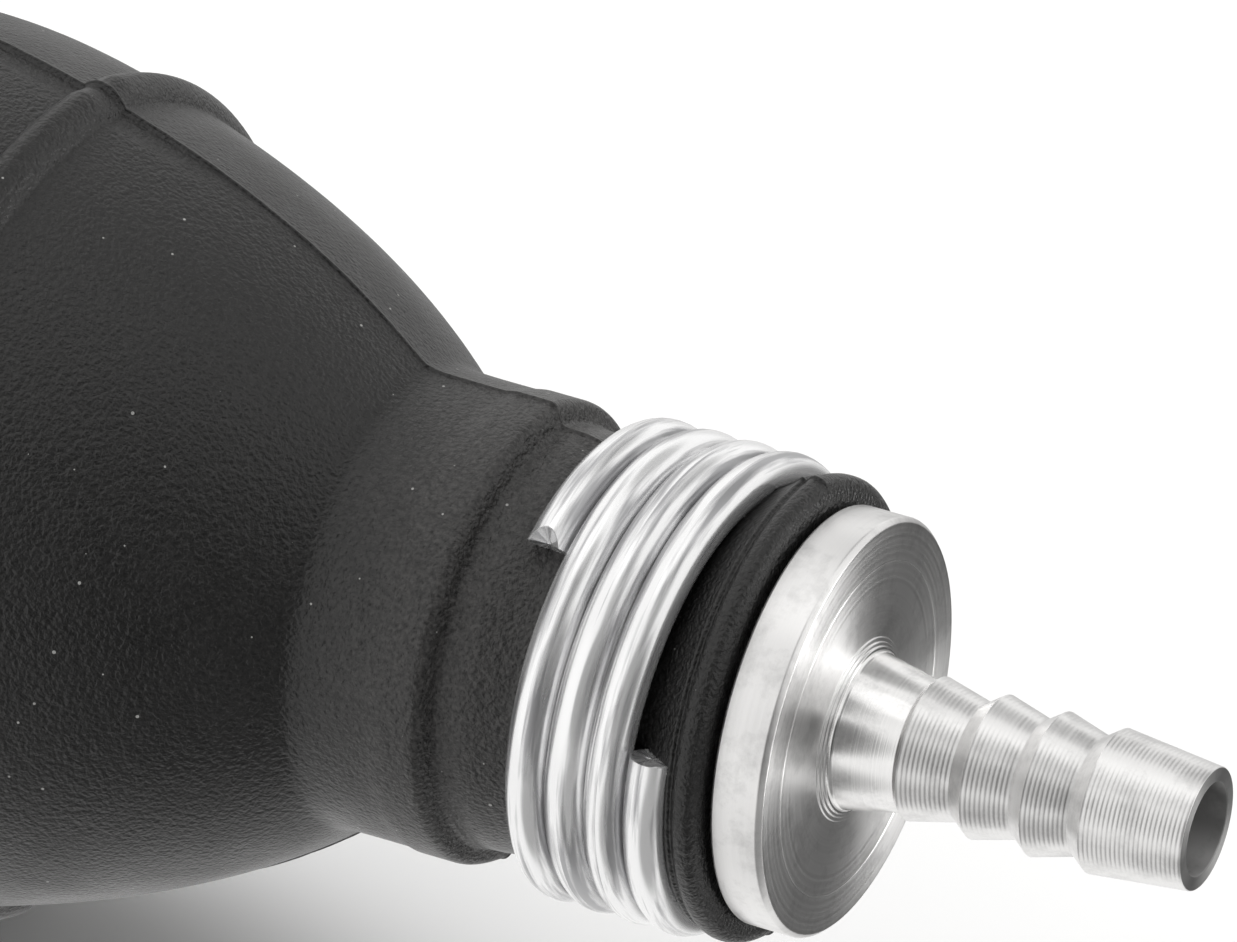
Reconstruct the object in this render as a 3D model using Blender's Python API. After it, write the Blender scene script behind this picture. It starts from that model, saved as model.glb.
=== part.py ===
"""Siphon bulb pump: a rubber squeeze bulb whose two necks each hold a barbed aluminium hose fitting,
clamped by a coil of steel wire, with a ball check valve inside.

Metres, +Z up. The pump's axis is X and the liquid flows towards +X. The origin is the middle of the
bulb. Every size below is in millimetres, turned into metres by MM.
"""

import math

import bmesh
import bpy
from mathutils import Vector

MM = 0.001
GAP = 0.3 * MM

# Bulb and necks
BULB_RADIUS = 24.1 * MM
BULB_ROUNDNESS = 40.47 * MM
BULB_EXPONENT = 1.7
CREST_HEIGHT = 0.5 * MM
CREST_SPREAD = math.radians(34)
RIB_PLACE = 13.6 * MM
RIB_HEIGHT = 0.95 * MM
RIB_HALF_WIDTH = 2.0 * MM
WALL = 3.0 * MM
WAIST_PLACE = 33.9 * MM
COLLAR_RADIUS = 12.35 * MM
COLLAR_END = 41.4 * MM
SHOULDER_ROUND = 0.7 * MM
NECK_RADIUS = 11.2 * MM
NECK_BORE = 8.3 * MM
CLAMP_SEAT_START = 44.2 * MM
CLAMP_SEAT_END = 55.65 * MM
CLAMP_SEAT_RADIUS = 10.15 * MM
BEAD_RADIUS = 12.25 * MM
BEAD_ROUND = 0.45 * MM
NECK_END = 57.1 * MM

# Squeeze walls: the two flats that a hand presses together
SQUEEZE_HALF_LENGTH = 21.5 * MM
SQUEEZE_HALF_HEIGHT = 15.5 * MM

# Hose fitting
TIP_FACE = 79.5 * MM
TAIL_BORE = 2.45 * MM
TIP_RADIUS = 3.2 * MM
BARB_RADIUS = 3.78 * MM
BARB_ROOT = 3.13 * MM
BARB_EDGES = (74.16 * MM, 70.95 * MM, 67.65 * MM, 64.1 * MM)
BARB_BACK = 0.92 * MM
STEM_TIP_RADIUS = 3.45 * MM
STEM_FOOT_RADIUS = 4.12 * MM
STEM_STEP = 0.3 * MM
FLANGE_FACE = 60.2 * MM
FLANGE_BACK = 57.4 * MM
FLANGE_RADIUS = 11.04 * MM
FLANGE_CHAMFER = 0.26 * MM
SPIGOT_RADIUS = 8.0 * MM
SPIGOT_GROOVE = 0.6 * MM
SPIGOT_TEETH = 4
SPIGOT_TOOTH_START = 54.0 * MM
SPIGOT_TOOTH_PITCH = 3.2 * MM
SPIGOT_END = 37.2 * MM
VALVE_BORE = 6.3 * MM
VALVE_SHOULDER = 52.7 * MM
SNAP_GROOVE_START = 37.7 * MM
SNAP_GROOVE_END = 38.7 * MM
SNAP_GROOVE_RADIUS = 6.9 * MM

# Wire clamp
WIRE_RADIUS = 1.09 * MM
CLAMP_RADIUS = 11.56 * MM
CLAMP_START = 45.6 * MM
CLAMP_PITCH = 2.26 * MM
CLAMP_TURNS = 3.88
CLAMP_START_ANGLE = math.radians(45)
CLAMP_LEAN = 0.1 * MM
CLAMP_LEAN_PER_TURN = 0.06 * MM
CLAMP_LEAN_ANGLE = math.radians(23)

# Check valve, with its own lengths counted from the upstream end
VALVE_LENGTH = 13.5 * MM
VALVE_RADIUS = 6.0 * MM
VALVE_INLET = 2.4 * MM
VALVE_INLET_WALL = 1.2 * MM
BALL_CHAMBER = 4.3 * MM
SEAL_GROOVE_START = 5.8 * MM
SEAL_GROOVE_WIDTH = 1.5 * MM
SEAL_GROOVE_RADIUS = 5.0 * MM
SEAL_RING_RADIUS = 5.65 * MM
SEAL_SECTION = 0.5 * MM
SEAT_START = 1.5 * MM
SEAT_END = 3.0 * MM
SEAT_RADIUS = 4.0 * MM
SEAT_CONE = 0.5 * MM
BALL_RADIUS = 3.3 * MM
BALL_PLACE = 5.85 * MM
SPRING_WIRE = 0.22 * MM
SPRING_RADIUS = 2.2 * MM
SPRING_START = 8.75 * MM
SPRING_END = 11.75 * MM
SPRING_TURNS = 4
KEEPER_START = 12.25 * MM
KEEPER_THICKNESS = 0.8 * MM
KEEPER_RADIUS = 4.05 * MM
KEEPER_HOLE = 0.95 * MM
KEEPER_HOLE_CIRCLE = 2.65 * MM
KEEPER_HOLES = 5
SNAP_THICKNESS = 0.7 * MM
SNAP_INNER = 5.1 * MM
SNAP_OUTER = 6.65 * MM
SNAP_OPENING = math.radians(42)

# Facets
BULB_STEPS = 32
FITTING_STEPS = 24
SMALL_STEPS = 20
WIRE_STEPS_PER_TURN = 18
SPRING_STEPS_PER_TURN = 12
SMOOTH_ANGLE = math.radians(35)

# Ends: the outlet looks along +X, and the inlet is the same pieces turned half round
ENDS = (("inlet", math.pi), ("outlet", 0.0))
# Where each valve's upstream end stands
VALVE_PLACES = {
    "inlet": -VALVE_SHOULDER + GAP,
    "outlet": VALVE_SHOULDER - GAP - VALVE_LENGTH,
}

MATERIALS = {
    "rubber": ((0.022, 0.022, 0.024), 0.62, 0.0),
    "aluminium": ((0.80, 0.81, 0.83), 0.28, 1.0),
    "plated_wire": ((0.72, 0.72, 0.74), 0.22, 1.0),
    "brass": ((0.78, 0.58, 0.26), 0.30, 1.0),
    "steel": ((0.62, 0.63, 0.65), 0.20, 1.0),
    "seal_rubber": ((0.035, 0.035, 0.038), 0.5, 0.0),
}


def clear_scene():
    for old in list(bpy.data.objects):
        bpy.data.objects.remove(old, do_unlink=True)


def material(name):
    """The named Principled material, made once."""
    if name in bpy.data.materials:
        return bpy.data.materials[name]
    colour, roughness, metallic = MATERIALS[name]
    made = bpy.data.materials.new(name)
    made.use_nodes = True
    shader = made.node_tree.nodes["Principled BSDF"]
    shader.inputs["Base Color"].default_value = (*colour, 1.0)
    shader.inputs["Roughness"].default_value = roughness
    shader.inputs["Metallic"].default_value = metallic
    return made


def add_object(name, data, finish, place=(0.0, 0.0, 0.0), turn=0.0):
    """An object of this mesh or curve, turned about Z and moved to its place."""
    made = bpy.data.objects.new(name, data)
    made.location = place
    made.rotation_euler = (0.0, 0.0, turn)
    bpy.context.scene.collection.objects.link(made)
    if not data.materials:
        data.materials.append(material(finish))
    return made


def finish_mesh(name, shape):
    """Turns a bmesh into a smooth-shaded mesh with its faces pointing out."""
    bmesh.ops.recalc_face_normals(shape, faces=shape.faces)
    mesh = bpy.data.meshes.new(name)
    shape.to_mesh(mesh)
    shape.free()
    mesh.shade_smooth()
    mesh.set_sharp_from_angle(angle=SMOOTH_ANGLE)
    return mesh


def turned_mesh(name, outline, steps):
    """A turned part: the closed outline of (along X, radius) points, spun round the X axis."""
    shape = bmesh.new()
    points = [shape.verts.new((along, 0.0, radius)) for along, radius in outline]
    edges = [shape.edges.new((a, b)) for a, b in zip(points, points[1:] + points[:1])]
    bmesh.ops.spin(
        shape,
        geom=points + edges,
        axis=(1.0, 0.0, 0.0),
        cent=(0.0, 0.0, 0.0),
        angle=math.tau,
        steps=steps,
        use_merge=True,
    )
    bmesh.ops.remove_doubles(shape, verts=shape.verts, dist=0.001 * MM)
    return finish_mesh(name, shape)


def wire_curve(name, points, radius, resolution):
    """A round wire along these points, with flat ends."""
    curve = bpy.data.curves.new(name, "CURVE")
    curve.dimensions = "3D"
    curve.bevel_depth = radius
    curve.bevel_resolution = resolution
    curve.use_fill_caps = True
    spline = curve.splines.new("POLY")
    spline.points.add(len(points) - 1)
    for spot, point in zip(spline.points, points):
        spot.co = (*point, 1.0)
    return curve


def boolean(target, operation, cutter):
    """Cuts the target, or keeps only what lies in the cutter, which is then hidden."""
    modifier = target.modifiers.new(operation.lower(), "BOOLEAN")
    modifier.operation = operation
    modifier.object = cutter
    cutter.hide_render = True
    cutter.display_type = "WIRE"


# Bulb


def bulb_radius(along):
    """The bulb's outer radius, without its rib."""
    share = abs(along) / BULB_ROUNDNESS
    return BULB_RADIUS * math.sqrt(1.0 - share**BULB_EXPONENT)


def bulb_outline():
    """One half of the moulding's section from the middle outwards: outside, then inside."""
    flank = [0.0, 4 * MM, 8 * MM, RIB_PLACE - RIB_HALF_WIDTH]
    outside = [(along, bulb_radius(along)) for along in flank]
    outside.append((RIB_PLACE, bulb_radius(RIB_PLACE) + RIB_HEIGHT))
    for along in (RIB_PLACE + RIB_HALF_WIDTH, 20 * MM, 24.5 * MM, 29 * MM):
        outside.append((along, bulb_radius(along)))
    outside += [
        (WAIST_PLACE, COLLAR_RADIUS),
        (COLLAR_END, COLLAR_RADIUS),
        (COLLAR_END + SHOULDER_ROUND * 0.7, COLLAR_RADIUS - SHOULDER_ROUND * 0.3),
        (COLLAR_END + SHOULDER_ROUND, NECK_RADIUS),
        (CLAMP_SEAT_START, NECK_RADIUS),
        (CLAMP_SEAT_START, CLAMP_SEAT_RADIUS),
        (CLAMP_SEAT_END, CLAMP_SEAT_RADIUS),
        (CLAMP_SEAT_END, BEAD_RADIUS - BEAD_ROUND),
        (CLAMP_SEAT_END + BEAD_ROUND, BEAD_RADIUS),
        (NECK_END - BEAD_ROUND, BEAD_RADIUS),
        (NECK_END, BEAD_RADIUS - BEAD_ROUND),
    ]
    inside = [(NECK_END, NECK_BORE), (WAIST_PLACE + WALL, NECK_BORE)]
    for along in (WAIST_PLACE, 29 * MM, 24.5 * MM, 20 * MM, RIB_PLACE, 7 * MM, 0.0):
        inside.append((along, bulb_radius(along) - WALL))
    return outside, inside


def bulb_mesh():
    """The whole moulding, both halves, with its low crest along the top and bottom parting lines."""
    outside, inside = bulb_outline()
    mirrored_outside = [(-along, radius) for along, radius in reversed(outside[1:])]
    mirrored_inside = [(-along, radius) for along, radius in reversed(inside[:-1])]
    outline = mirrored_outside + outside + inside + mirrored_inside
    mesh = turned_mesh("bulb", outline, BULB_STEPS)
    for vertex in mesh.vertices:
        along, across, up = vertex.co
        radius = math.hypot(across, up)
        if abs(along) >= WAIST_PLACE or radius < bulb_radius(along) - WALL / 2:
            continue
        from_crest = math.atan2(abs(across), abs(up))
        rise = (bulb_radius(along) - COLLAR_RADIUS) / (BULB_RADIUS - COLLAR_RADIUS)
        lift = CREST_HEIGHT * rise * max(0.0, 1.0 - from_crest / CREST_SPREAD)
        vertex.co = Vector((along, across, up)) + Vector((0.0, across, up)) * (lift / radius)
    return mesh


def window_prism(name, side, gap):
    """The space that a squeeze wall slides in: an oval prism along Y on one side of the bulb."""
    shape = bmesh.new()
    corners = 36
    ring = []
    for step in range(corners):
        angle = math.tau * step / corners
        along = (SQUEEZE_HALF_LENGTH + gap) * math.cos(angle)
        up = (SQUEEZE_HALF_HEIGHT + gap) * math.sin(angle)
        ring.append(shape.verts.new((along, side * 1 * MM, up)))
    lid = shape.faces.new(ring)
    grown = bmesh.ops.extrude_face_region(shape, geom=[lid])["geom"]
    tops = [piece for piece in grown if isinstance(piece, bmesh.types.BMVert)]
    reach = side * (BULB_RADIUS + 5 * MM)
    bmesh.ops.translate(shape, verts=tops, vec=(0.0, reach, 0.0))
    return add_object(name, finish_mesh(name, shape), "rubber")


def make_bulb():
    """The fixed moulding, and the front and back walls cut out of it, which slide inwards."""
    mesh = bulb_mesh()
    moulding = add_object("bulb_moulding", mesh, "rubber")
    for name, side in (("front", -1), ("back", 1)):
        boolean(moulding, "DIFFERENCE", window_prism(f"{name}_window", side, GAP))
        wall = add_object(f"bulb_squeeze_wall_{name}", mesh, "rubber")
        boolean(wall, "INTERSECT", window_prism(f"{name}_wall_outline", side, 0.0))


# Hose fitting


def fitting_outline():
    """The outlet fitting's section, from the tip face back along the outside and out along the bore."""
    outline = [(TIP_FACE, TIP_RADIUS)]
    for edge in BARB_EDGES:
        outline += [(edge, BARB_RADIUS), (edge - BARB_BACK, BARB_ROOT)]
    outline[-1] = (BARB_EDGES[-1] - STEM_STEP, STEM_TIP_RADIUS)
    outline += [
        (FLANGE_FACE, STEM_FOOT_RADIUS),
        (FLANGE_FACE, FLANGE_RADIUS - FLANGE_CHAMFER),
        (FLANGE_FACE - FLANGE_CHAMFER, FLANGE_RADIUS),
        (FLANGE_BACK, FLANGE_RADIUS),
        (FLANGE_BACK, SPIGOT_RADIUS),
    ]
    for tooth in range(SPIGOT_TEETH):
        start = SPIGOT_TOOTH_START - tooth * SPIGOT_TOOTH_PITCH
        outline += [
            (start, SPIGOT_RADIUS),
            (start, SPIGOT_RADIUS - SPIGOT_GROOVE),
            (start - SPIGOT_TOOTH_PITCH * 0.75, SPIGOT_RADIUS),
        ]
    outline += [
        (SPIGOT_END + SPIGOT_GROOVE, SPIGOT_RADIUS),
        (SPIGOT_END, SPIGOT_RADIUS - SPIGOT_GROOVE),
        (SPIGOT_END, VALVE_BORE),
        (SNAP_GROOVE_START, VALVE_BORE),
        (SNAP_GROOVE_START, SNAP_GROOVE_RADIUS),
        (SNAP_GROOVE_END, SNAP_GROOVE_RADIUS),
        (SNAP_GROOVE_END, VALVE_BORE),
        (VALVE_SHOULDER, VALVE_BORE),
        (VALVE_SHOULDER, BALL_CHAMBER),
        (VALVE_SHOULDER + BALL_CHAMBER - TAIL_BORE, TAIL_BORE),
        (TIP_FACE, TAIL_BORE),
    ]
    return outline


def clamp_points():
    """The wire clamp's centre line: a close-wound left-hand coil round the outlet neck.

    Angles count from the top towards the front. The turns lean a little, more from one to the next.
    """
    count = round(CLAMP_TURNS * WIRE_STEPS_PER_TURN)
    points = []
    for step in range(count + 1):
        turn = CLAMP_TURNS * step / count
        angle = CLAMP_START_ANGLE - math.tau * turn
        lean = CLAMP_LEAN + CLAMP_LEAN_PER_TURN * turn
        along = CLAMP_START + CLAMP_PITCH * turn + lean * math.cos(angle + CLAMP_LEAN_ANGLE)
        points.append((along, -CLAMP_RADIUS * math.sin(angle), CLAMP_RADIUS * math.cos(angle)))
    return points


def snap_ring_mesh():
    """An open ring of rectangular section, with its opening at the bottom."""
    shape = bmesh.new()
    start = SNAP_GROOVE_START + (SNAP_GROOVE_END - SNAP_GROOVE_START - SNAP_THICKNESS) / 2
    half_opening = SNAP_OPENING / 2
    corners = []
    for along, radius in (
        (start, SNAP_INNER),
        (start, SNAP_OUTER),
        (start + SNAP_THICKNESS, SNAP_OUTER),
        (start + SNAP_THICKNESS, SNAP_INNER),
    ):
        across = radius * math.sin(half_opening)
        up = -radius * math.cos(half_opening)
        corners.append(shape.verts.new((along, across, up)))
    section = shape.faces.new(corners)
    bmesh.ops.spin(
        shape,
        geom=[section],
        axis=(1.0, 0.0, 0.0),
        cent=(0.0, 0.0, 0.0),
        angle=math.tau - SNAP_OPENING,
        steps=SMALL_STEPS,
    )
    return finish_mesh("snap_ring", shape)


def make_end_fittings():
    """The hose fitting, wire clamp and snap ring of each end."""
    fitting = turned_mesh("hose_fitting", fitting_outline(), FITTING_STEPS)
    clamp = wire_curve("wire_clamp", clamp_points(), WIRE_RADIUS, 2)
    snap_ring = snap_ring_mesh()
    for end, turn in ENDS:
        add_object(f"{end}_hose_fitting", fitting, "aluminium", turn=turn)
        add_object(f"{end}_wire_clamp", clamp, "plated_wire", turn=turn)
        add_object(f"{end}_snap_ring", snap_ring, "steel", turn=turn)


# Check valve


def valve_body_outline():
    """The valve's tubular body: a small inlet at its upstream end, then the ball's chamber."""
    return [
        (0.0, VALVE_INLET),
        (0.0, VALVE_RADIUS),
        (SEAL_GROOVE_START, VALVE_RADIUS),
        (SEAL_GROOVE_START, SEAL_GROOVE_RADIUS),
        (SEAL_GROOVE_START + SEAL_GROOVE_WIDTH, SEAL_GROOVE_RADIUS),
        (SEAL_GROOVE_START + SEAL_GROOVE_WIDTH, VALVE_RADIUS),
        (VALVE_LENGTH, VALVE_RADIUS),
        (VALVE_LENGTH, BALL_CHAMBER),
        (VALVE_INLET_WALL, BALL_CHAMBER),
        (VALVE_INLET_WALL, VALVE_INLET),
    ]


def seat_outline():
    """The soft seat ring, with the cone that the ball closes on."""
    return [
        (SEAT_START, VALVE_INLET),
        (SEAT_START, SEAT_RADIUS),
        (SEAT_END, SEAT_RADIUS),
        (SEAT_END, VALVE_INLET + SEAT_CONE),
        (SEAT_END - SEAT_CONE, VALVE_INLET),
    ]


def seal_outline():
    """The round section of the ring that seals the valve in its bore."""
    middle = SEAL_GROOVE_START + SEAL_GROOVE_WIDTH / 2
    corners = 8
    outline = []
    for step in range(corners):
        angle = math.tau * step / corners
        along = middle + SEAL_SECTION * math.cos(angle)
        outline.append((along, SEAL_RING_RADIUS + SEAL_SECTION * math.sin(angle)))
    return outline


def ball_mesh():
    shape = bmesh.new()
    bmesh.ops.create_uvsphere(shape, u_segments=16, v_segments=10, radius=BALL_RADIUS)
    return finish_mesh("valve_ball", shape)


def spring_points():
    """The valve spring's centre line."""
    count = SPRING_TURNS * SPRING_STEPS_PER_TURN
    points = []
    for step in range(count + 1):
        share = step / count
        angle = math.tau * SPRING_TURNS * share
        along = SPRING_START + (SPRING_END - SPRING_START) * share
        points.append((along, SPRING_RADIUS * math.cos(angle), SPRING_RADIUS * math.sin(angle)))
    return points


def keeper_mesh():
    """The disc that the spring pushes on: a small centre hole, and a ring of flow holes cut later."""
    outline = [
        (KEEPER_START, KEEPER_HOLE * 0.6),
        (KEEPER_START, KEEPER_RADIUS),
        (KEEPER_START + KEEPER_THICKNESS, KEEPER_RADIUS),
        (KEEPER_START + KEEPER_THICKNESS, KEEPER_HOLE * 0.6),
    ]
    return turned_mesh("spring_keeper", outline, SMALL_STEPS)


def keeper_holes_mesh():
    """Round bars where the keeper's flow holes go."""
    shape = bmesh.new()
    corners = 10
    for hole in range(KEEPER_HOLES):
        place = math.tau * hole / KEEPER_HOLES
        ring = []
        for step in range(corners):
            angle = math.tau * step / corners
            across = KEEPER_HOLE_CIRCLE * math.cos(place) + KEEPER_HOLE * math.cos(angle)
            up = KEEPER_HOLE_CIRCLE * math.sin(place) + KEEPER_HOLE * math.sin(angle)
            ring.append(shape.verts.new((KEEPER_START - KEEPER_THICKNESS, across, up)))
        lid = shape.faces.new(ring)
        grown = bmesh.ops.extrude_face_region(shape, geom=[lid])["geom"]
        tops = [piece for piece in grown if isinstance(piece, bmesh.types.BMVert)]
        bmesh.ops.translate(shape, verts=tops, vec=(3 * KEEPER_THICKNESS, 0.0, 0.0))
    return finish_mesh("keeper_holes", shape)


def make_valves():
    """One check valve in each fitting, both opening towards +X."""
    body = turned_mesh("valve_body", valve_body_outline(), FITTING_STEPS)
    seat = turned_mesh("valve_seat", seat_outline(), SMALL_STEPS)
    seal = turned_mesh("valve_seal_ring", seal_outline(), SMALL_STEPS)
    ball = ball_mesh()
    spring = wire_curve("valve_spring", spring_points(), SPRING_WIRE, 1)
    keeper = keeper_mesh()
    holes = keeper_holes_mesh()
    for end, start in VALVE_PLACES.items():
        place = (start, 0.0, 0.0)
        add_object(f"{end}_valve_body", body, "brass", place)
        add_object(f"{end}_valve_seat", seat, "seal_rubber", place)
        add_object(f"{end}_valve_seal_ring", seal, "seal_rubber", place)
        add_object(f"{end}_valve_ball", ball, "steel", (start + BALL_PLACE, 0.0, 0.0))
        add_object(f"{end}_valve_spring", spring, "steel", place)
        disc = add_object(f"{end}_spring_keeper", keeper, "brass", place)
        boolean(disc, "DIFFERENCE", add_object(f"{end}_keeper_holes", holes, "brass", place))


def main():
    clear_scene()
    make_bulb()
    make_end_fittings()
    make_valves()


main()
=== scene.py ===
"""Looks of the siphon bulb pump: the grained rubber bulb, its wire clamps, the turned hose fittings and
the valve parts inside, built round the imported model. Lengths are in millimetres, turned into metres by MM.
"""

import math

import bmesh
import bpy
import numpy as np
from mathutils import Matrix, Vector


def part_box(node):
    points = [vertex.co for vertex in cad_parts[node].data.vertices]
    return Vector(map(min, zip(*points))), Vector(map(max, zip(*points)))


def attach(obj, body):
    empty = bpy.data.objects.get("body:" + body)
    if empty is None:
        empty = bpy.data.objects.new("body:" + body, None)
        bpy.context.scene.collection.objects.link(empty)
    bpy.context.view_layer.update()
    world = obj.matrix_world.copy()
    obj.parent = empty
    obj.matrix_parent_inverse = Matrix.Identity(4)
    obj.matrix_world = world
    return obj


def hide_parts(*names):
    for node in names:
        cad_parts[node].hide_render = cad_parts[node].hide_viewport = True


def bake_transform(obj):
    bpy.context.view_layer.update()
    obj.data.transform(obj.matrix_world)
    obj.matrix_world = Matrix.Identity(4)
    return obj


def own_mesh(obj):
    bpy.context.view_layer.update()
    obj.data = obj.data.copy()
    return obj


MM = 0.001
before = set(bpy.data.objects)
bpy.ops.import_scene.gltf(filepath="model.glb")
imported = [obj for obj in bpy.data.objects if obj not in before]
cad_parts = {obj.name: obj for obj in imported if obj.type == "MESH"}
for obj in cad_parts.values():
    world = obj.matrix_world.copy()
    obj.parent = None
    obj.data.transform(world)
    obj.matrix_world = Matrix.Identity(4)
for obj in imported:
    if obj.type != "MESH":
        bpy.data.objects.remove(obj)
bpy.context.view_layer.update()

ENDS = (("inlet", math.pi), ("outlet", 0.0))

# A rounded corner takes at most this share of a straight stretch
EASE_LIMIT = 0.45

# Sizes that the frame gives
TIP_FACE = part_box("outlet_hose_fitting")[1].x
NECK_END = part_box("bulb_moulding")[1].x
BULB_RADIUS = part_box("bulb_squeeze_wall_back")[1].y
BULB_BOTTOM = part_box("bulb_moulding")[0].z

# Bulb and necks. Places along the axis count from the middle of the bulb
BULB_ROUNDNESS = 40.47 * MM
BULB_EXPONENT = 1.7
BULB_MIDDLE_EASE = 3.0 * MM
WALL = 3.0 * MM
NECK_BORE = 8.3 * MM
NECK_BORE_START = 37 * MM
RIB_PLACE = 13.6 * MM
RIB_HEIGHT = 0.95 * MM
RIB_HALF_WIDTH = 1.3 * MM
RIB_SHARPNESS = 0.92
RIB_AT_SEAM = 0.7
RIB_SEAM_FADE = math.radians(4)
WAIST_EASE = 0.55 * MM
COLLAR_RADIUS = 12.35 * MM
# Start, end and spacing of the rings of points, in millimetres: close together at the rib and the waist
BULB_SPANS = ((0.0, 11.0, 0.6), (11.0, 16.2, 0.1), (16.2, 31.0, 0.6), (31.0, 36.0, 0.25), (36.0, 39.0, 0.6))
# Place, radius and rounding of each corner, in millimetres: the collar and its shoulder, the seat of the
# clamp, the end bead with its faint first ridge, and the face behind the flange
NECK_CORNERS = (
    (39.0, 12.35, 0.0),
    (40.2, 12.34, 0.0),
    (41.3, 12.33, 0.42),
    (41.85, 11.17, 0.25),
    (43.4, 11.12, 0.5),
    (45.9, 10.5, 0.8),
    (49.5, 10.45, 0.0),
    (53.2, 10.5, 0.5),
    (54.2, 11.1, 0.4),
    (55.1, 11.72, 0.3),
    (55.42, 12.0, 0.12),
    (55.62, 11.84, 0.1),
    (56.0, 12.24, 0.5),
    (56.7, 12.24, 0.5),
    (57.1, 11.6, 0.35),
    (57.1, 10.2, 0.0),
)
NECK_SPACING = 0.45 * MM
DOUBLE_POINT = 0.0001 * MM

# Parting line along the top and the bottom. The steps from it round the skin are angles in radians
SEAM_FIRST_STEP = 0.0013
SEAM_STEP_GROWTH = 1.17
SEAM_LONGEST_STEP = 0.036
SEAM_LAST_GAP = 0.02
CREST_HEIGHT = 0.38 * MM
CREST_SPREAD = math.radians(9)
NECK_CREST_HEIGHT = 0.3 * MM
CREST_END_FADE = 1.3 * MM
CREST_END_LOSS = 0.6
NECK_FADE = (30 * MM, 34 * MM)
BULB_MOULD_STEP = 0.03 * MM
NECK_MOULD_STEP = 0.12 * MM
STEP_SPREAD = 3.0 * MM
FLASH_HEIGHT = 0.12 * MM
FLASH_WIDTH = 0.09 * MM
FLASH_LEVEL = 0.8
FLASH_WAVER = 0.3
FLASH_LOSS_ON_NECK = 0.8
LAND_DEPTH = 0.14 * MM
LAND_WIDTH = 1.5 * MM
LAND_OUTER_EDGE = (0.8 * LAND_WIDTH, 1.25 * LAND_WIDTH)
LAND_INNER_EDGE = 0.15 * MM
LAND_FADE = (15.0 * MM, 23.0 * MM)

# Wire clamp
WIRE_RADIUS = 1.12 * MM
WIRE_SIDES = 28
WIRE_STEPS_PER_TURN = 96
CLAMP_RADIUS = 11.56 * MM
CLAMP_START = 45.6 * MM
CLAMP_PITCH = 2.26 * MM
CLAMP_TURNS = 3.88
CLAMP_START_ANGLE = math.radians(45)
CLAMP_LEAN = 0.1 * MM
CLAMP_LEAN_PER_TURN = 0.06 * MM
CLAMP_LEAN_ANGLE = math.radians(23)
# The first end's chisel edge lies this far out from the wire's middle, as a share of its radius, and the
# wire is cut back from it on both sides
CUT_EDGE = 0.62
CUT_OUTER_SLANT = 2.2 * MM
CUT_INNER_SLANT = 0.35 * MM
CUT_RINGS = 3
CUT_BURRS = (0.015 * MM, 0.05 * MM)
# Rings of a cut wire's end: each one's share of the rim's size, and how far it stands out, in burrs
CUT_FACE_RINGS = ((0.93, 0.6), (0.8, -0.7), (0.5, -0.2), (0.25, -0.6))
CUT_FACE_MIDDLE = -0.4

# Hose fitting
FITTING_SIDES = 192
TAIL_BORE = 2.45 * MM
TIP_RADIUS = 3.2 * MM
TIP_CHAMFER = 0.04 * MM
TIP_EASE = 0.1 * MM
FIRST_BARB_START = (0.12 * MM, 0.02 * MM)
BARB_RADIUS = 3.78 * MM
BARB_ROOT = 3.13 * MM
BARB_EDGES = (74.16 * MM, 70.95 * MM, 67.65 * MM, 64.1 * MM)
BARB_BACK = 0.92 * MM
BARB_ROOT_EASE = (0.06 * MM, 0.03 * MM)
STEM_TIP_RADIUS = 3.45 * MM
STEM_FOOT_RADIUS = 4.12 * MM
STEM_FOOT_HEIGHT = 0.42 * MM
STEM_STEP = 0.3 * MM
# The stepped rings round the stem's foot: height over the flange's face and distance from the foot, in
# millimetres
FOOT_STEPS = ((0.3, 0.16), (0.3, 0.26), (0.18, 0.3), (0.18, 0.46), (0.08, 0.5), (0.08, 0.68), (0.0, 0.74))
TOOL_PITCH = 0.24 * MM
TOOL_DEPTH = 0.014 * MM
# One tool mark, as shares of its pitch and of its depth
TOOL_MARK = ((0.0, 0.0), (0.3, 0.15), (0.55, 1.0), (0.75, 0.9), (0.92, 0.1))
FLANGE_FACE = 60.2 * MM
FLANGE_BACK = 57.4 * MM
FLANGE_RADIUS = 11.04 * MM
FLANGE_CHAMFER = 0.26 * MM
FLANGE_BACK_CHAMFER = 0.12 * MM
SCRIBED_RING = 8.8 * MM
SCRIBED_HALF_WIDTH = 0.05 * MM
SCRIBED_DEPTH = 0.018 * MM
SPIGOT_RADIUS = 8.0 * MM
SPIGOT_GROOVE = 0.6 * MM
SPIGOT_TEETH = 4
SPIGOT_TOOTH_START = 54.0 * MM
SPIGOT_TOOTH_PITCH = 3.2 * MM
SPIGOT_TOOTH_RISE = 0.75
SPIGOT_END = 37.2 * MM
VALVE_BORE = 6.3 * MM
VALVE_SHOULDER = 52.7 * MM
BALL_CHAMBER = 4.3 * MM
SNAP_GROOVE_SPAN = (37.7 * MM, 38.7 * MM)
SNAP_GROOVE_RADIUS = 6.9 * MM

# Valve springs, placed from the start of each valve
VALVE_STARTS = {"inlet": -52.4 * MM, "outlet": 38.9 * MM}
SPRING_WIRE = 0.22 * MM
SPRING_WIRE_SIDES = 12
SPRING_RADIUS = 2.2 * MM
SPRING_SPAN = (8.75 * MM, 11.75 * MM)
SPRING_DEAD_TURNS = 0.75
SPRING_LIVE_TURNS = 3.0
SPRING_STEPS = 200
SPRING_BURRS = (0.01 * MM, 0.01 * MM)

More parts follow.
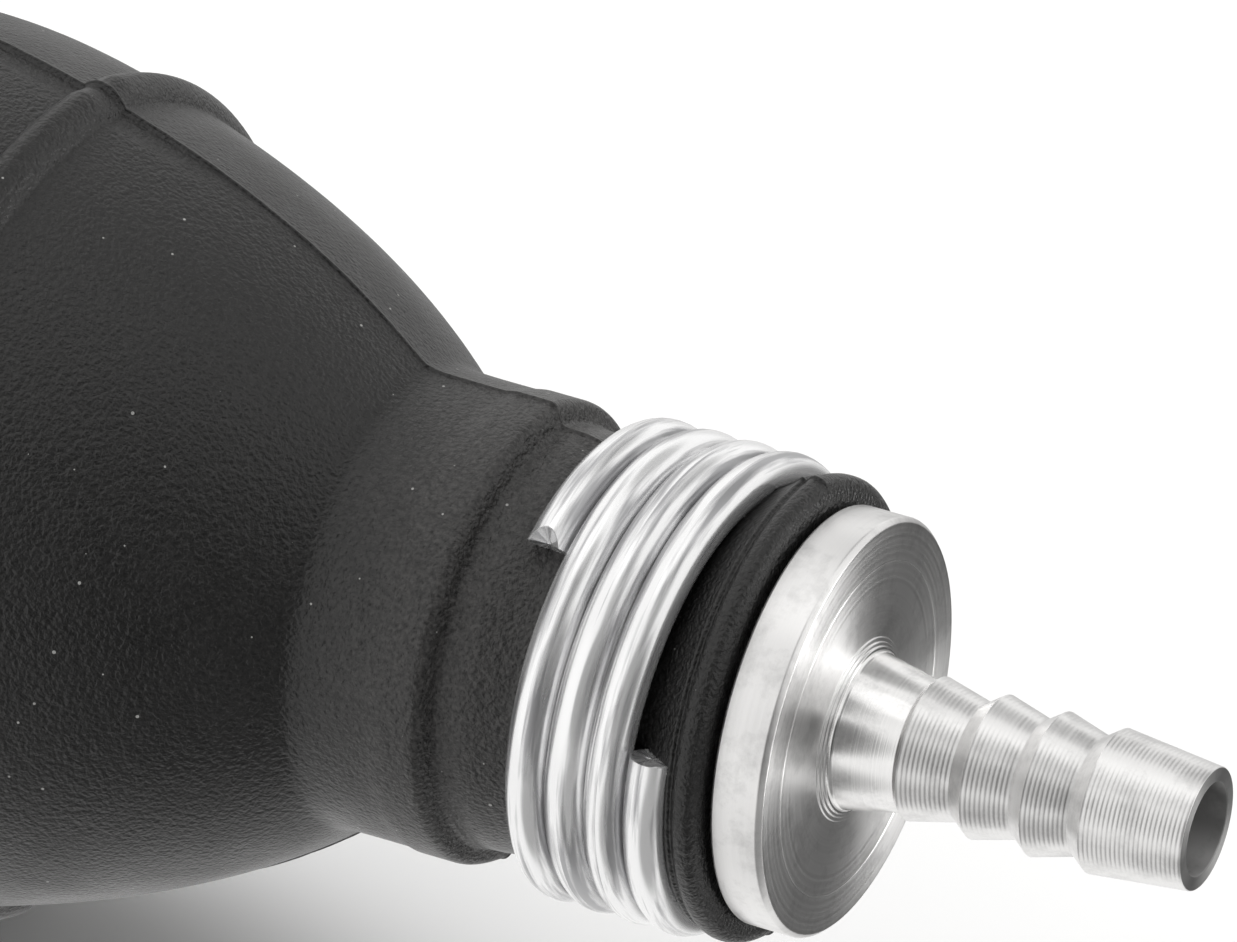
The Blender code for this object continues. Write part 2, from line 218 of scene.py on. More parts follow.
# Rubber: its colours, the grain's depth, the dust specks and the painted light that makes the necks lighter
RUBBER_DARK = (0.0052, 0.005, 0.0048)
RUBBER_LIGHT = (0.0086, 0.0082, 0.008)
RUBBER_BUMP = 0.09 * MM
DUST_COLOUR = (0.33, 0.33, 0.32, 1.0)
DUST_LARGEST = 0.13
DUST_RARITY = 0.84
NECK_PAINTED_LIGHT = 2.8
NECK_PAINTED_LIGHT_START = (34 * MM, 39 * MM)
NECK_PAINTED_LIGHT_END = (50 * MM, 53 * MM)

# Turned metal: the tip and the bore are rougher, and painted shade takes a share of their brightness. The
# smoother stem starts and ends this far from the flange's face and from the last barb
TIP_PAINTED_SHADE = 0.6
BORE_PAINTED_SHADE = 0.42
RAW_ROUGHNESS = 0.3
RAW_MARGIN = 0.02 * MM
STEM_POLISH = 0.55
STEM_START = 0.3 * MM
STEM_END = 0.2 * MM
GLOSS_CHANGE = 0.12
TOOL_BUMP = 0.01 * MM
ACROSS_THE_MARKS = 0.25

# Floor and key light, in metres
FLOOR_HALF_SIZE = 6.0
FLOOR_GAP = 0.0005
FLOOR_COLOUR = (0.92, 0.92, 0.92, 1.0)
KEY_PLACE = (-0.05, 0.35, 0.75)
KEY_AIM = (0.03, 0.0, 0.0)
KEY_SIZE = 0.6
KEY_POWER = 2.5

# The studio round the object, as patches of a sky that the surfaces reflect: each has the direction of its
# middle, the angles where it is whole and where it has faded out, and its brightness
SKY_COLOUR = (1.0, 0.996, 0.988, 1.0)
SKY_BRIGHTNESS = 1.02
BACKDROP_BRIGHTNESS = 1.0
SKY_PATCHES = (
    ("dim_upper_back", (0.12, 0.54, 0.83), 13, 25, 0.42),
    ("dim_upper_front", (0.42, -0.55, 0.72), 14, 26, 0.35),
    ("dim_below", (0.45, -0.4, -0.8), 24, 40, 0.3),
    ("dim_back", (-0.4, 0.9, 0.0), 14, 30, 0.72),
    ("front_left_softbox", (-0.45, -0.88, 0.03), 22, 34, 1.12),
    ("overhead_softbox", (-0.14, -0.3, 0.94), 12, 20, 1.3),
    ("dark_front", (0.44, -0.89, 0.08), 24, 35, 0.24),
    ("dark_right_front", (0.8, -0.6, -0.05), 16, 28, 0.1),
    ("dark_right_back", (0.42, 0.84, -0.34), 18, 40, 0.12),
    ("right_softbox", (0.82, 0.5, -0.12), 11, 20, 5.0),
    ("dark_lower_right", (0.9, 0.05, -0.45), 8, 17, 0.2),
)

# Camera: from the front right, a little above, and slightly rolled
CAMERA_AZIMUTH = math.radians(25.1)
CAMERA_ELEVATION = math.radians(20.1)
CAMERA_ROLL = math.radians(6.35)
CAMERA_DISTANCE = 399.0 * MM
CAMERA_LENS = 234.0
CAMERA_NEAREST = 0.01
AIM_LEFT_OF_TIP = 29.21 * MM
AIM_ABOVE_TIP = 17.78 * MM


# Mesh making


def mesh_from_grid(name, points, wrap_rows, wrap_columns):
    """A quad mesh over a grid of points, of shape (rows, columns, 3)."""
    rows, columns = points.shape[:2]
    index = np.arange(rows * columns).reshape(rows, columns)
    down = np.concatenate([index, index[:1]]) if wrap_rows else index
    grid = np.concatenate([down, down[:, :1]], axis=1) if wrap_columns else down
    quads = np.stack([grid[:-1, :-1], grid[:-1, 1:], grid[1:, 1:], grid[1:, :-1]], axis=-1)
    mesh = bpy.data.meshes.new(name)
    mesh.from_pydata(points.reshape(-1, 3).tolist(), [], quads.reshape(-1, 4).tolist())
    return mesh


def smooth(mesh, sharp_angle):
    """Shades a mesh smooth, except at edges sharper than this angle in degrees."""
    mesh.shade_smooth()
    mesh.set_sharp_from_angle(angle=math.radians(sharp_angle))
    return mesh


def add_piece(name, mesh, material, turn=0.0):
    """An object for the mesh, turned round the Z axis, with its material and slot."""
    piece = bpy.data.objects.new(name, mesh)
    piece.rotation_euler = (0.0, 0.0, turn)
    bpy.context.scene.collection.objects.link(piece)
    mesh.materials.clear()
    mesh.materials.append(material)
    return piece


def turned_mesh(name, outline, steps, sharp_angle):
    """The closed outline of (along X, radius) points turned round the X axis, facing outwards."""
    section = np.array(outline)
    after = np.roll(section, -1, axis=0)
    area = np.sum(section[:, 0] * after[:, 1] - after[:, 0] * section[:, 1])
    if area > 0:
        section = section[::-1]
    angles = np.linspace(0.0, math.tau, steps, endpoint=False)
    along = np.repeat(section[:, :1], steps, axis=1)
    across = section[:, 1:] * np.sin(angles)[None, :]
    up = section[:, 1:] * np.cos(angles)[None, :]
    points = np.stack([along, across, up], axis=-1)
    mesh = mesh_from_grid(name, points, wrap_rows=True, wrap_columns=True)
    return smooth(mesh, sharp_angle)


def eased(corners, steps):
    """An outline with round corners: each corner is (along, radius, ease), and ease 0 stays sharp."""
    outline = []
    count = len(corners)
    for number, (along, radius, ease) in enumerate(corners):
        corner = np.array((along, radius))
        if ease == 0:
            outline.append(tuple(corner))
            continue
        before = np.array(corners[number - 1][:2]) - corner
        after = np.array(corners[(number + 1) % count][:2]) - corner
        ease = min(ease, EASE_LIMIT * np.linalg.norm(before), EASE_LIMIT * np.linalg.norm(after))
        start = corner + before / np.linalg.norm(before) * ease
        end = corner + after / np.linalg.norm(after) * ease
        for step in range(steps + 1):
            share = step / steps
            point = (1 - share) ** 2 * start + 2 * share * (1 - share) * corner + share**2 * end
            outline.append(tuple(point))
    return outline


def smoothstep(low, high, value):
    """0 up to low and 1 from high on, with a smooth rise between them."""
    share = np.clip((value - low) / (high - low), 0.0, 1.0)
    return share * share * (3.0 - 2.0 * share)


# Materials


def set_input(socket, value):
    """Gives a node's input a value, or links it to another node's output."""
    if isinstance(value, bpy.types.NodeSocket):
        socket.id_data.links.new(value, socket)
    else:
        socket.default_value = value


def add_node(tree, kind, settings=None):
    """A new node. Each setting is a property or an input, with its value or the output that feeds it."""
    node = tree.nodes.new(kind)
    for key, value in (settings or {}).items():
        if isinstance(key, str) and hasattr(node, key):
            setattr(node, key, value)
        else:
            set_input(node.inputs[key], value)
    return node


def new_material(name):
    """A node material, its tree, and the inputs of its Principled shader."""
    made = bpy.data.materials.new(name)
    made.use_nodes = True
    tree = made.node_tree
    return made, tree, tree.nodes["Principled BSDF"].inputs


def object_place(tree):
    """The place on the object, in metres."""
    return add_node(tree, "ShaderNodeTexCoord").outputs["Object"]


def calculate(tree, operation, first, second=0.0):
    """The result of a sum on one or two values, each a number or another node's output."""
    return add_node(tree, "ShaderNodeMath", {"operation": operation, 0: first, 1: second}).outputs[0]


def noise(tree, place, scale, detail=2.0, roughness=0.5, dimensions="3D", distortion=0.0):
    """A random value between 0 and 1 that changes smoothly from place to place."""
    settings = {
        "noise_dimensions": dimensions,
        "Vector": place,
        "Scale": scale,
        "Detail": detail,
        "Roughness": roughness,
        "Distortion": distortion,
    }
    return add_node(tree, "ShaderNodeTexNoise", settings).outputs["Fac"]


def ranged(tree, value, start, end, low, high):
    """The value's range from start to end, mapped onto low to high and held there outside it."""
    settings = {"Value": value, "From Min": start, "From Max": end, "To Min": low, "To Max": high}
    return add_node(tree, "ShaderNodeMapRange", settings).outputs["Result"]


def toned(tree, value, dark, light, start=0.0, end=1.0):
    """A colour that goes from dark to light as the value goes from start to end."""
    ramp = add_node(tree, "ShaderNodeValToRGB", {"Fac": value})
    low, high = ramp.color_ramp.elements
    low.position = start
    low.color = (*dark, 1.0)
    high.position = end
    high.color = (*light, 1.0)
    return ramp.outputs["Color"]


def scaled_colour(tree, colour, factor):
    """The colour made brighter or darker by the factor."""
    settings = {"operation": "SCALE", 0: colour, "Scale": factor}
    return add_node(tree, "ShaderNodeVectorMath", settings).outputs["Vector"]


def bumped(tree, height, strength, depth):
    """The surface's direction, tilted as if it had this height, with a depth in metres."""
    settings = {"Height": height, "Strength": strength, "Distance": depth}
    return add_node(tree, "ShaderNodeBump", settings).outputs["Normal"]


def rubber_material():
    """Satin black rubber with a leather-like grain, soft patches of tone, small flecks and a little dust.
    The necks are painted lighter up to the wire clamp: a painted reflection of the bright light they catch."""
    made, tree, surface = new_material("grained_rubber")
    place = object_place(tree)
    patches = noise(tree, place, scale=160.0, detail=5.0, roughness=0.6)
    tone = toned(tree, patches, RUBBER_DARK, RUBBER_LIGHT, start=0.3, end=0.75)

    cells = add_node(tree, "ShaderNodeTexVoronoi", {"Vector": place, "Scale": 1300.0}).outputs
    chosen = add_node(tree, "ShaderNodeSeparateColor", {"Color": cells["Color"]}).outputs
    size = calculate(tree, "MULTIPLY", chosen["Green"], DUST_LARGEST)
    near = calculate(tree, "LESS_THAN", cells["Distance"], size)
    rare = calculate(tree, "GREATER_THAN", chosen["Red"], DUST_RARITY)
    speck = calculate(tree, "MULTIPLY", near, rare)

    mottle = noise(tree, place, scale=3800.0, detail=2.0, roughness=0.6)
    fleck = ranged(tree, mottle, start=0.35, end=0.68, low=0.45, high=1.7)
    along = add_node(tree, "ShaderNodeSeparateXYZ", {"Vector": place}).outputs["X"]
    from_middle = calculate(tree, "ABSOLUTE", along)
    # Painted light: the necks' colour is made lighter from the collar up to the clamp, standing in for the
    # bright reflection on the collar and seat
    painted_light_rise = ranged(tree, from_middle, *NECK_PAINTED_LIGHT_START, low=0.0, high=NECK_PAINTED_LIGHT)
    before_clamp = ranged(tree, from_middle, *NECK_PAINTED_LIGHT_END, low=1.0, high=0.0)
    painted_neck_light = calculate(tree, "MULTIPLY", painted_light_rise, before_clamp)
    shade = calculate(tree, "MULTIPLY", fleck, calculate(tree, "ADD", painted_neck_light, 1.0))
    shaded = scaled_colour(tree, tone, shade)
    mixed = {"data_type": "RGBA", "Factor": speck, 6: shaded, 7: DUST_COLOUR}
    set_input(surface["Base Color"], add_node(tree, "ShaderNodeMix", mixed).outputs[2])
    set_input(surface["Roughness"], ranged(tree, patches, start=0.3, end=0.7, low=0.31, high=0.43))
    set_input(surface["Specular IOR Level"], 0.5)

    grain = noise(tree, place, scale=5200.0, distortion=0.3)
    lumps = {"feature": "SMOOTH_F1", "Vector": place, "Scale": 3200.0, "Smoothness": 0.5}
    leather = add_node(tree, "ShaderNodeTexVoronoi", lumps).outputs["Distance"]
    hollows = calculate(tree, "MULTIPLY", leather, 0.6)
    height = calculate(tree, "SUBTRACT", grain, hollows)
    set_input(surface["Normal"], bumped(tree, height, strength=1.0, depth=RUBBER_BUMP))
    return made


def seal_material():
    """Smooth moulded nitrile rubber."""
    made, tree, surface = new_material("seal_nitrile")
    mottle = noise(tree, object_place(tree), scale=1500.0, detail=3.0)
    set_input(surface["Base Color"], toned(tree, mottle, (0.024, 0.024, 0.026), (0.042, 0.042, 0.044)))
    set_input(surface["Roughness"], 0.42)
    set_input(surface["Normal"], bumped(tree, mottle, strength=0.2, depth=0.02 * MM))
    return made


def turned_metal_material(name, dark, light, roughness, marks, anisotropy):
    """Metal turned on a lathe: fine tool marks round the X axis, with a slight change of tone and gloss from
    mark to mark, and faint stains. The hose tail's stem is smoother, and its tip and bore are rougher and
    darkened by painted shade."""
    made, tree, surface = new_material(name)
    place = object_place(tree)
    parts = add_node(tree, "ShaderNodeSeparateXYZ", {"Vector": place}).outputs
    flat = add_node(tree, "ShaderNodeCombineXYZ", {"Y": parts["Y"], "Z": parts["Z"]}).outputs["Vector"]
    radius = add_node(tree, "ShaderNodeVectorMath", {"operation": "LENGTH", 0: flat}).outputs["Value"]
    from_middle = calculate(tree, "ABSOLUTE", parts["X"])
    spot = add_node(tree, "ShaderNodeCombineXYZ", {"X": parts["X"], "Y": radius}).outputs["Vector"]
    fine = noise(tree, spot, scale=15000.0, dimensions="2D")
    broad = noise(tree, spot, scale=5200.0, dimensions="2D")
    stains = noise(tree, place, scale=420.0, detail=6.0, roughness=0.7)

    tone = toned(tree, broad, dark, light, start=0.35, end=0.65)
    stain = ranged(tree, stains, start=0.34, end=0.52, low=0.8, high=1.0)
    # Painted shade: the bore and the tip's face lose a share of their brightness, standing in for the shade
    # that falls there
    in_bore = calculate(tree, "LESS_THAN", radius, TAIL_BORE + RAW_MARGIN)
    on_tip = calculate(tree, "GREATER_THAN", from_middle, TIP_FACE - RAW_MARGIN)
    tip_painted_shade = calculate(tree, "MULTIPLY", on_tip, TIP_PAINTED_SHADE)
    bore_painted_shade = calculate(tree, "MULTIPLY", in_bore, BORE_PAINTED_SHADE)
    left = calculate(tree, "SUBTRACT", 1.0, calculate(tree, "MAXIMUM", tip_painted_shade, bore_painted_shade))
    shade = calculate(tree, "MULTIPLY", stain, left)
    set_input(surface["Base Color"], scaled_colour(tree, tone, shade))

    low, high = roughness * (1.0 - GLOSS_CHANGE), roughness * (1.0 + GLOSS_CHANGE)
    gloss = ranged(tree, broad, start=0.3, end=0.7, low=low, high=high)
    past_face = calculate(tree, "GREATER_THAN", from_middle, FLANGE_FACE + STEM_START)
    before_barbs = calculate(tree, "LESS_THAN", from_middle, BARB_EDGES[-1] - STEM_END)
    on_stem = calculate(tree, "MULTIPLY", past_face, before_barbs)
    polish = calculate(tree, "SUBTRACT", 1.0, calculate(tree, "MULTIPLY", on_stem, STEM_POLISH))
    raw = calculate(tree, "MULTIPLY", calculate(tree, "MAXIMUM", on_tip, in_bore), RAW_ROUGHNESS)
    level = calculate(tree, "ADD", calculate(tree, "MULTIPLY", gloss, polish), raw)
    set_input(surface["Roughness"], level)

    height = calculate(tree, "ADD", fine, calculate(tree, "MULTIPLY", broad, 0.25))
    set_input(surface["Normal"], bumped(tree, height, strength=marks, depth=TOOL_BUMP))
    set_input(surface["Metallic"], 1.0)
    set_input(surface["Anisotropic"], anisotropy)
    set_input(surface["Anisotropic Rotation"], ACROSS_THE_MARKS)
    tangent = add_node(tree, "ShaderNodeTangent", {"direction_type": "RADIAL", "axis": "X"})
    set_input(surface["Tangent"], tangent.outputs["Tangent"])
    return made


def wire_material():
    """Plated drawn wire: long streaks and shallow die marks that follow the wire's length."""
    made, tree, surface = new_material("drawn_wire")
    place = add_node(tree, "ShaderNodeUVMap", {"uv_map": "wire"}).outputs["UV"]
    stretch = add_node(tree, "ShaderNodeMapping", {"Vector": place, "Scale": (0.09, 8.5, 1.0)})
    drawn = stretch.outputs["Vector"]
    streaks = noise(tree, drawn, scale=1.0, detail=3.0, roughness=0.6, dimensions="2D")
    tone = toned(tree, streaks, (0.42, 0.42, 0.43), (0.93, 0.93, 0.935), start=0.36, end=0.54)
    set_input(surface["Base Color"], tone)
    set_input(surface["Roughness"], ranged(tree, streaks, start=0.3, end=0.7, low=0.32, high=0.18))
    set_input(surface["Normal"], bumped(tree, streaks, strength=0.3, depth=0.02 * MM))
    set_input(surface["Metallic"], 0.74)
    return made


def polished_material(name, colour, roughness):
    """Polished or drawn steel with faint scuffs."""
    made, tree, surface = new_material(name)
    scuffs = noise(tree, object_place(tree), scale=900.0, detail=5.0, roughness=0.7)
    gloss = ranged(tree, scuffs, start=0.35, end=0.7, low=roughness, high=roughness * 1.8)
    set_input(surface["Roughness"], gloss)
    darker = tuple(0.85 * part for part in colour)
    set_input(surface["Base Color"], toned(tree, scuffs, darker, colour))
    set_input(surface["Metallic"], 1.0)
    return made


RUBBER = rubber_material()
SEAL = seal_material()
ALUMINIUM = turned_metal_material(
    "turned_aluminium",
    dark=(0.83, 0.825, 0.82),
    light=(0.87, 0.865, 0.86),
    roughness=0.33,
    marks=0.2,
    anisotropy=0.8,
)
BRASS = turned_metal_material(
    "turned_brass",
    dark=(0.70, 0.50, 0.22),
    light=(0.80, 0.60, 0.29),
    roughness=0.25,
    marks=0.3,
    anisotropy=0.4,
)
WIRE = wire_material()
BALL_STEEL = polished_material("ball_steel", (0.78, 0.79, 0.81), roughness=0.07)
SPRING_STEEL = polished_material("spring_steel", (0.60, 0.61, 0.63), roughness=0.22)


# Bulb


def bulb_radius(along):
    """The bulb's outer radius without rib or crest, joined softly to the collar."""
    ease = BULB_MIDDLE_EASE
    away = np.sqrt(along**2 + ease**2) - ease * np.exp(-((along / (3 * ease)) ** 2))
    share = np.clip(np.abs(away) / BULB_ROUNDNESS, 0.0, 1.0)
    bulb = BULB_RADIUS * np.sqrt(1.0 - share**BULB_EXPONENT)
    over = bulb - COLLAR_RADIUS
    joined = 0.5 * (bulb + COLLAR_RADIUS + np.sqrt(over**2 + WAIST_EASE**2))
    return joined - WAIST_EASE**2 / 4 / np.maximum(over + WAIST_EASE, WAIST_EASE)


def skin_stations():
    """Places along one half of the bulb."""
    places = []
    for start, end, step in BULB_SPANS:
        count = round((end - start) / step)
        places += [start + (end - start) * number / count for number in range(count)]
    return np.array(places) * MM


def neck_outline():
    """Outer outline of one neck, from the collar to the face behind the flange."""
    corners = [(along * MM, radius * MM, ease * MM) for along, radius, ease in NECK_CORNERS]
    return spread(eased(corners, steps=4), NECK_SPACING)


def spread(outline, longest):
    """The same outline without double points, and with more points where two are further apart than this."""
    places = [outline[0]]
    for start, end in zip(outline, outline[1:]):
        length = math.dist(start, end)
        if length < DOUBLE_POINT:
            continue
        count = max(1, math.ceil(length / longest))
        for number in range(1, count + 1):
            share = number / count
            places.append((start[0] + (end[0] - start[0]) * share, start[1] + (end[1] - start[1]) * share))
    return places


def skin_outline():
    """Outer outline of one half of the moulding, from the middle to the end face, without the rib."""
    along = skin_stations()
    return np.concatenate([np.stack([along, bulb_radius(along)], axis=-1), np.array(neck_outline())])


def seam_angles():
    """Angles from the top to the bottom parting line, closest together next to both."""
    steps = [0.0]
    step = SEAM_FIRST_STEP
    while steps[-1] + step < math.pi / 2 - SEAM_LAST_GAP:
        steps.append(steps[-1] + step)
        step = min(step * SEAM_STEP_GROWTH, SEAM_LONGEST_STEP)
    quarter = np.array(steps + [math.pi / 2])
    return np.concatenate([quarter, math.pi - quarter[-2::-1]])


def wavering(along):
    """A smooth uneven value between about -1 and 1 along the seam: six waves, each shorter and lower."""
    total = np.zeros_like(along)
    # The factors only have to be unlike each other, so that the waves don't repeat together
    for number in range(1, 7):
        phase = 1.7 * number
        total += np.sin(along / MM * 0.9 * number**1.4 + phase) / number**0.7
    return total / 3.2


def skin_radius(outline, angles, side):
    """Radius over the half skin: the outline with its rib, raised to a low crest at the parting line. The
    back half has the thin flash and a slight step there, and the front half a shallow land beside it."""
    along, base = outline[:, :1], outline[:, 1:]
    from_seam = np.minimum(angles, math.pi - angles)[None, :]
    bulbous = np.clip((base - COLLAR_RADIUS) / (BULB_RADIUS - COLLAR_RADIUS), 0.0, 1.0)
    height = NECK_CREST_HEIGHT + (CREST_HEIGHT - NECK_CREST_HEIGHT) * bulbous
    height = height * (1.0 - CREST_END_LOSS * smoothstep(NECK_END - CREST_END_FADE, NECK_END, np.abs(along)))
    rib = np.clip(1.0 - ((np.abs(along) - RIB_PLACE) / RIB_HALF_WIDTH) ** 2, 0.0, 1.0) ** RIB_SHARPNESS
    lowered = 1.0 - (1.0 - RIB_AT_SEAM) * (1.0 - smoothstep(0.0, RIB_SEAM_FADE, from_seam))
    radius = base + height * np.exp(-from_seam / CREST_SPREAD) + RIB_HEIGHT * rib * lowered
    distance = from_seam * base
    on_neck = smoothstep(*NECK_FADE, np.abs(along))
    if side > 0:
        share = distance / FLASH_WIDTH
        uneven = FLASH_LEVEL + FLASH_WAVER * wavering(along)
        flash = FLASH_HEIGHT * uneven * (1.0 - FLASH_LOSS_ON_NECK * on_neck)
        step = BULB_MOULD_STEP + (NECK_MOULD_STEP - BULB_MOULD_STEP) * on_neck
        step = step * smoothstep(0.0, 1.2, share) * np.exp(-distance / STEP_SPREAD)
        radius = radius + flash * share * np.exp(1.0 - share) + step
    else:
        past_land = smoothstep(*LAND_OUTER_EDGE, distance)
        land = smoothstep(0.0, LAND_INNER_EDGE, distance) * (1.0 - past_land)
        fade = 1.0 - smoothstep(*LAND_FADE, np.abs(along))
        radius = radius - LAND_DEPTH * land * fade
    return radius


def make_skin(name, side):
    """One half of the rubber moulding, from parting line to parting line: outside, inside and edges."""
    half = skin_outline()
    outline = np.concatenate([half[:0:-1] * (-1.0, 1.0), half])
    angles = seam_angles()
    outer_radius = skin_radius(outline, angles, side)
    inner_base = np.maximum(bulb_radius(outline[:, 0]) - WALL, NECK_BORE)
    inner_base = np.where(np.abs(outline[:, 0]) > NECK_BORE_START, NECK_BORE, inner_base)
    inner_radius = np.repeat(inner_base[:, None], len(angles), axis=1)
    shells = []
    for radius in (outer_radius, inner_radius):
        along = np.repeat(outline[:, :1], len(angles), axis=1)
        across = side * radius * np.sin(angles)
        across[:, 0] = 0.0
        across[:, -1] = 0.0
        up = radius * np.cos(angles)
        shells.append(np.stack([along, across, up], axis=-1))
    loop = np.concatenate([shells[0], shells[1][:, ::-1]], axis=1)
    if side > 0:
        loop = loop[:, ::-1]
    mesh = mesh_from_grid(name, loop, wrap_rows=False, wrap_columns=True)
    close_ends(mesh, loop.shape[1])
    smooth(mesh, sharp_angle=50)
    return add_piece(name, mesh, RUBBER)


def close_ends(mesh, columns):
    """Fills the two end faces of a looped grid with strips between its outer and inner halves."""
    shape = bmesh.new()
    shape.from_mesh(mesh)
    shape.verts.ensure_lookup_table()
    last = len(shape.verts) - columns
    for start, flip in ((0, False), (last, True)):
        for column in range(columns // 2 - 1):
            across = columns - 2 - column
            ring = [start + number for number in (column, column + 1, across, across + 1)]
            corners = [shape.verts[number] for number in (ring if flip else ring[::-1])]
            shape.faces.new(corners)
    shape.to_mesh(mesh)
    shape.free()


def make_bulb():
    """Both halves of the skin, which take the place of the squeeze walls and the moulding."""
    for side, word, body in ((-1, "front", "front_wall"), (1, "back", "back_wall")):
        skin = make_skin(f"bulb_skin_{word}", side)
        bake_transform(skin)
        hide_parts(f"bulb_squeeze_wall_{word}")
        if side < 0:
            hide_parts("bulb_moulding")


make_bulb()


# Wire clamps


def clamp_line(turn):
    """A point of the wire's centre line, after this many turns. Angles count from the top to the front."""
    angle = CLAMP_START_ANGLE - math.tau * turn
    lean = CLAMP_LEAN + CLAMP_LEAN_PER_TURN * turn
    along = CLAMP_START + CLAMP_PITCH * turn + lean * np.cos(angle + CLAMP_LEAN_ANGLE)
    return np.stack([along, -CLAMP_RADIUS * np.sin(angle), CLAMP_RADIUS * np.cos(angle)], axis=-1)


def tube(line, radius, sides):
    """Points of a round tube along a line that winds round the X axis, of shape (places, sides, 3), with the
    line's direction at each place and the angles round the tube."""
    ahead = np.gradient(line, axis=0)
    ahead /= np.linalg.norm(ahead, axis=1, keepdims=True)
    outward = line * (0.0, 1.0, 1.0)
    outward /= np.linalg.norm(outward, axis=1, keepdims=True)
    sideways = np.cross(ahead, outward)
    sideways /= np.linalg.norm(sideways, axis=1, keepdims=True)
    outward = np.cross(sideways, ahead)
    angles = np.linspace(0.0, math.tau, sides, endpoint=False)
    cosines, sines = np.cos(angles)[None, :, None], np.sin(angles)[None, :, None]
    ring = cosines * outward[:, None] + sines * sideways[:, None]
    return line[:, None] + radius * ring, ahead, angles


def clamp_mesh():
    """The coiled wire, with its ends cut off like a wire cutter leaves them."""
    turns = np.linspace(0.0, CLAMP_TURNS, round(CLAMP_TURNS * WIRE_STEPS_PER_TURN) + 1)
    points, ahead, angles = tube(clamp_line(turns), WIRE_RADIUS, WIRE_SIDES)
    # The first end is pinched off to a chisel edge near its outer side, and the last is square
    height = np.cos(angles) - CUT_EDGE
    slant = np.where(height > 0, CUT_OUTER_SLANT * height, -CUT_INNER_SLANT * height)
    for number in range(CUT_RINGS):
        share = 1.0 - number / CUT_RINGS
        points[number] = points[number] + ahead[number] * slant[:, None] * share
    mesh = mesh_from_grid("wire_clamp", points, wrap_rows=False, wrap_columns=True)
    cap_tube(mesh, WIRE_SIDES, ahead, CUT_BURRS)
    add_wire_uv(mesh, WIRE_SIDES, len(turns))
    return smooth(mesh, sharp_angle=40)


def cap_tube(mesh, sides, ahead, burrs):
    """Closes both ends of a tube: each has a thin raised burr round an uneven broken face."""
    shape = bmesh.new()
    shape.from_mesh(mesh)
    corners = list(shape.verts)
    rims = (corners[:sides], corners[-sides:])
    for rim, way, burr in zip(rims, (-ahead[0], ahead[-1]), burrs):
        middle = sum((corner.co for corner in rim), Vector()) / sides
        before = rim
        for share, depth in CUT_FACE_RINGS:
            inner = []
            for number, corner in enumerate(rim):
                # Two waves that are out of step from ring to ring
                uneven = 0.5 * math.sin(3 * number + 20 * share) + 0.3 * math.sin(7.3 * number + 11 * share)
                place = middle + (corner.co - middle) * share + Vector(way) * burr * (depth + uneven)
                inner.append(shape.verts.new(place))
            for number in range(sides):
                after = (number + 1) % sides
                shape.faces.new((before[number], before[after], inner[after], inner[number]))
            before = inner
        hub = shape.verts.new(middle + Vector(way) * burr * CUT_FACE_MIDDLE)
        for number in range(sides):
            shape.faces.new((hub, before[number], before[(number + 1) % sides]))
    bmesh.ops.recalc_face_normals(shape, faces=shape.faces)
    shape.to_mesh(mesh)
    shape.free()


def add_wire_uv(mesh, sides, rings):
    """A map with the wire's length in millimetres along U, and the way round it along V."""
    layer = mesh.uv_layers.new(name="wire")
    length = CLAMP_TURNS * math.tau * CLAMP_RADIUS / MM
    for face in mesh.polygons:
        numbers = [mesh.loops[index].vertex_index for index in face.loop_indices]
        columns = [number % sides for number in numbers]
        seam = max(columns) - min(columns) > sides / 2
        for index, number, column in zip(face.loop_indices, numbers, columns):
            ring = min(number // sides, rings - 1)
            around = (column + sides if seam and column < sides / 2 else column) / sides
            layer.data[index].uv = (length * ring / (rings - 1), around)


clamp = clamp_mesh()
for end, turn in ENDS:
    coil = add_piece(f"{end}_clamp_wire", clamp, WIRE, turn=turn)
    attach(coil, "root")
    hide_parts(f"{end}_wire_clamp")


# Hose fittings


def tool_marked(start, end):
    """Points from start to end of a straight turned stretch, with fine grooves all along it."""
    start, end = np.array(start), np.array(end)
    length = np.linalg.norm(end - start)
    count = max(1, round(length / TOOL_PITCH))
    normal = np.array((-(end - start)[1], (end - start)[0])) / length
    if normal[1] < 0:
        normal = -normal
    points = []
    for number in range(count):
        for share, depth in TOOL_MARK:
            place = start + (end - start) * (number + share) / count
            points.append(tuple(place - normal * TOOL_DEPTH * depth))
    return points


def tail_outline():
    """The outside of the hose tail, from the tip face back to the edge of the last barb."""
    inner_edge = (TIP_FACE, TAIL_BORE + TIP_CHAMFER, 0)
    # Only the direction to this point counts, since it is left out of the outline
    below = (TIP_FACE - 1 * MM, TIP_RADIUS + 0.1 * MM, 0)
    outline = eased([inner_edge, (TIP_FACE, TIP_RADIUS, TIP_EASE), below], steps=3)[:-1]
    start = (TIP_FACE - FIRST_BARB_START[0], TIP_RADIUS + FIRST_BARB_START[1])
    for edge in BARB_EDGES:
        peak = (edge, BARB_RADIUS)
        outline += tool_marked(start, peak)
        outline.append(peak)
        if edge != BARB_EDGES[-1]:
            start = (edge - BARB_BACK, BARB_ROOT)
            outline.append((start[0] + BARB_ROOT_EASE[0], start[1] + BARB_ROOT_EASE[1]))
    return outline


